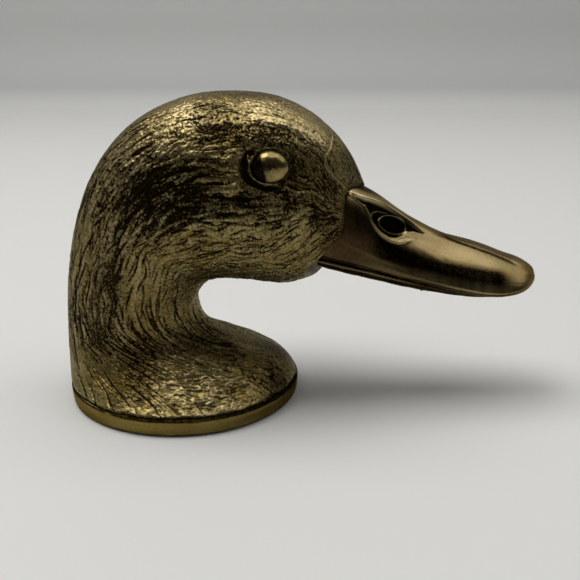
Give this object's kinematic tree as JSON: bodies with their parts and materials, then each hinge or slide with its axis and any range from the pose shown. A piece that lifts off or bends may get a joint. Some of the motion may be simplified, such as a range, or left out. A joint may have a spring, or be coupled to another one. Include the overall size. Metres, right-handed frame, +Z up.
{
  "type": "brass duck head ornament",
  "caption": "Antique-brass duck head with neck and breast on a flat oval base: chased feathers, smooth bill, bead eyes. A free-standing desk ornament or paperweight.",
  "frame": {"origin": "centre of the felt's resting face, in the middle of the oval base", "axes": "+Z up, +X towards the tip of the bill, +Y to the duck's left; the middle plane is Y = 0"},
  "size_m": [0.12, 0.055, 0.0775],
  "materials": {
    "cast_brass": "antiqued, chased, dark in the hollows",
    "bill_brass": "satin, browned",
    "eye_brass": "polished",
    "plate_brass": "satin",
    "screw_brass": "turned",
    "felt": "felt"
  },
  "bodies": {
    "root": {"head_casting": "cast_brass", "upper_bill": "bill_brass", "lower_bill": "bill_brass", "right_eye": "eye_brass", "left_eye": "eye_brass", "base_plate": "plate_brass", "base_screws": "screw_brass", "felt_pad": "felt"}
  },
  "joints": []
}
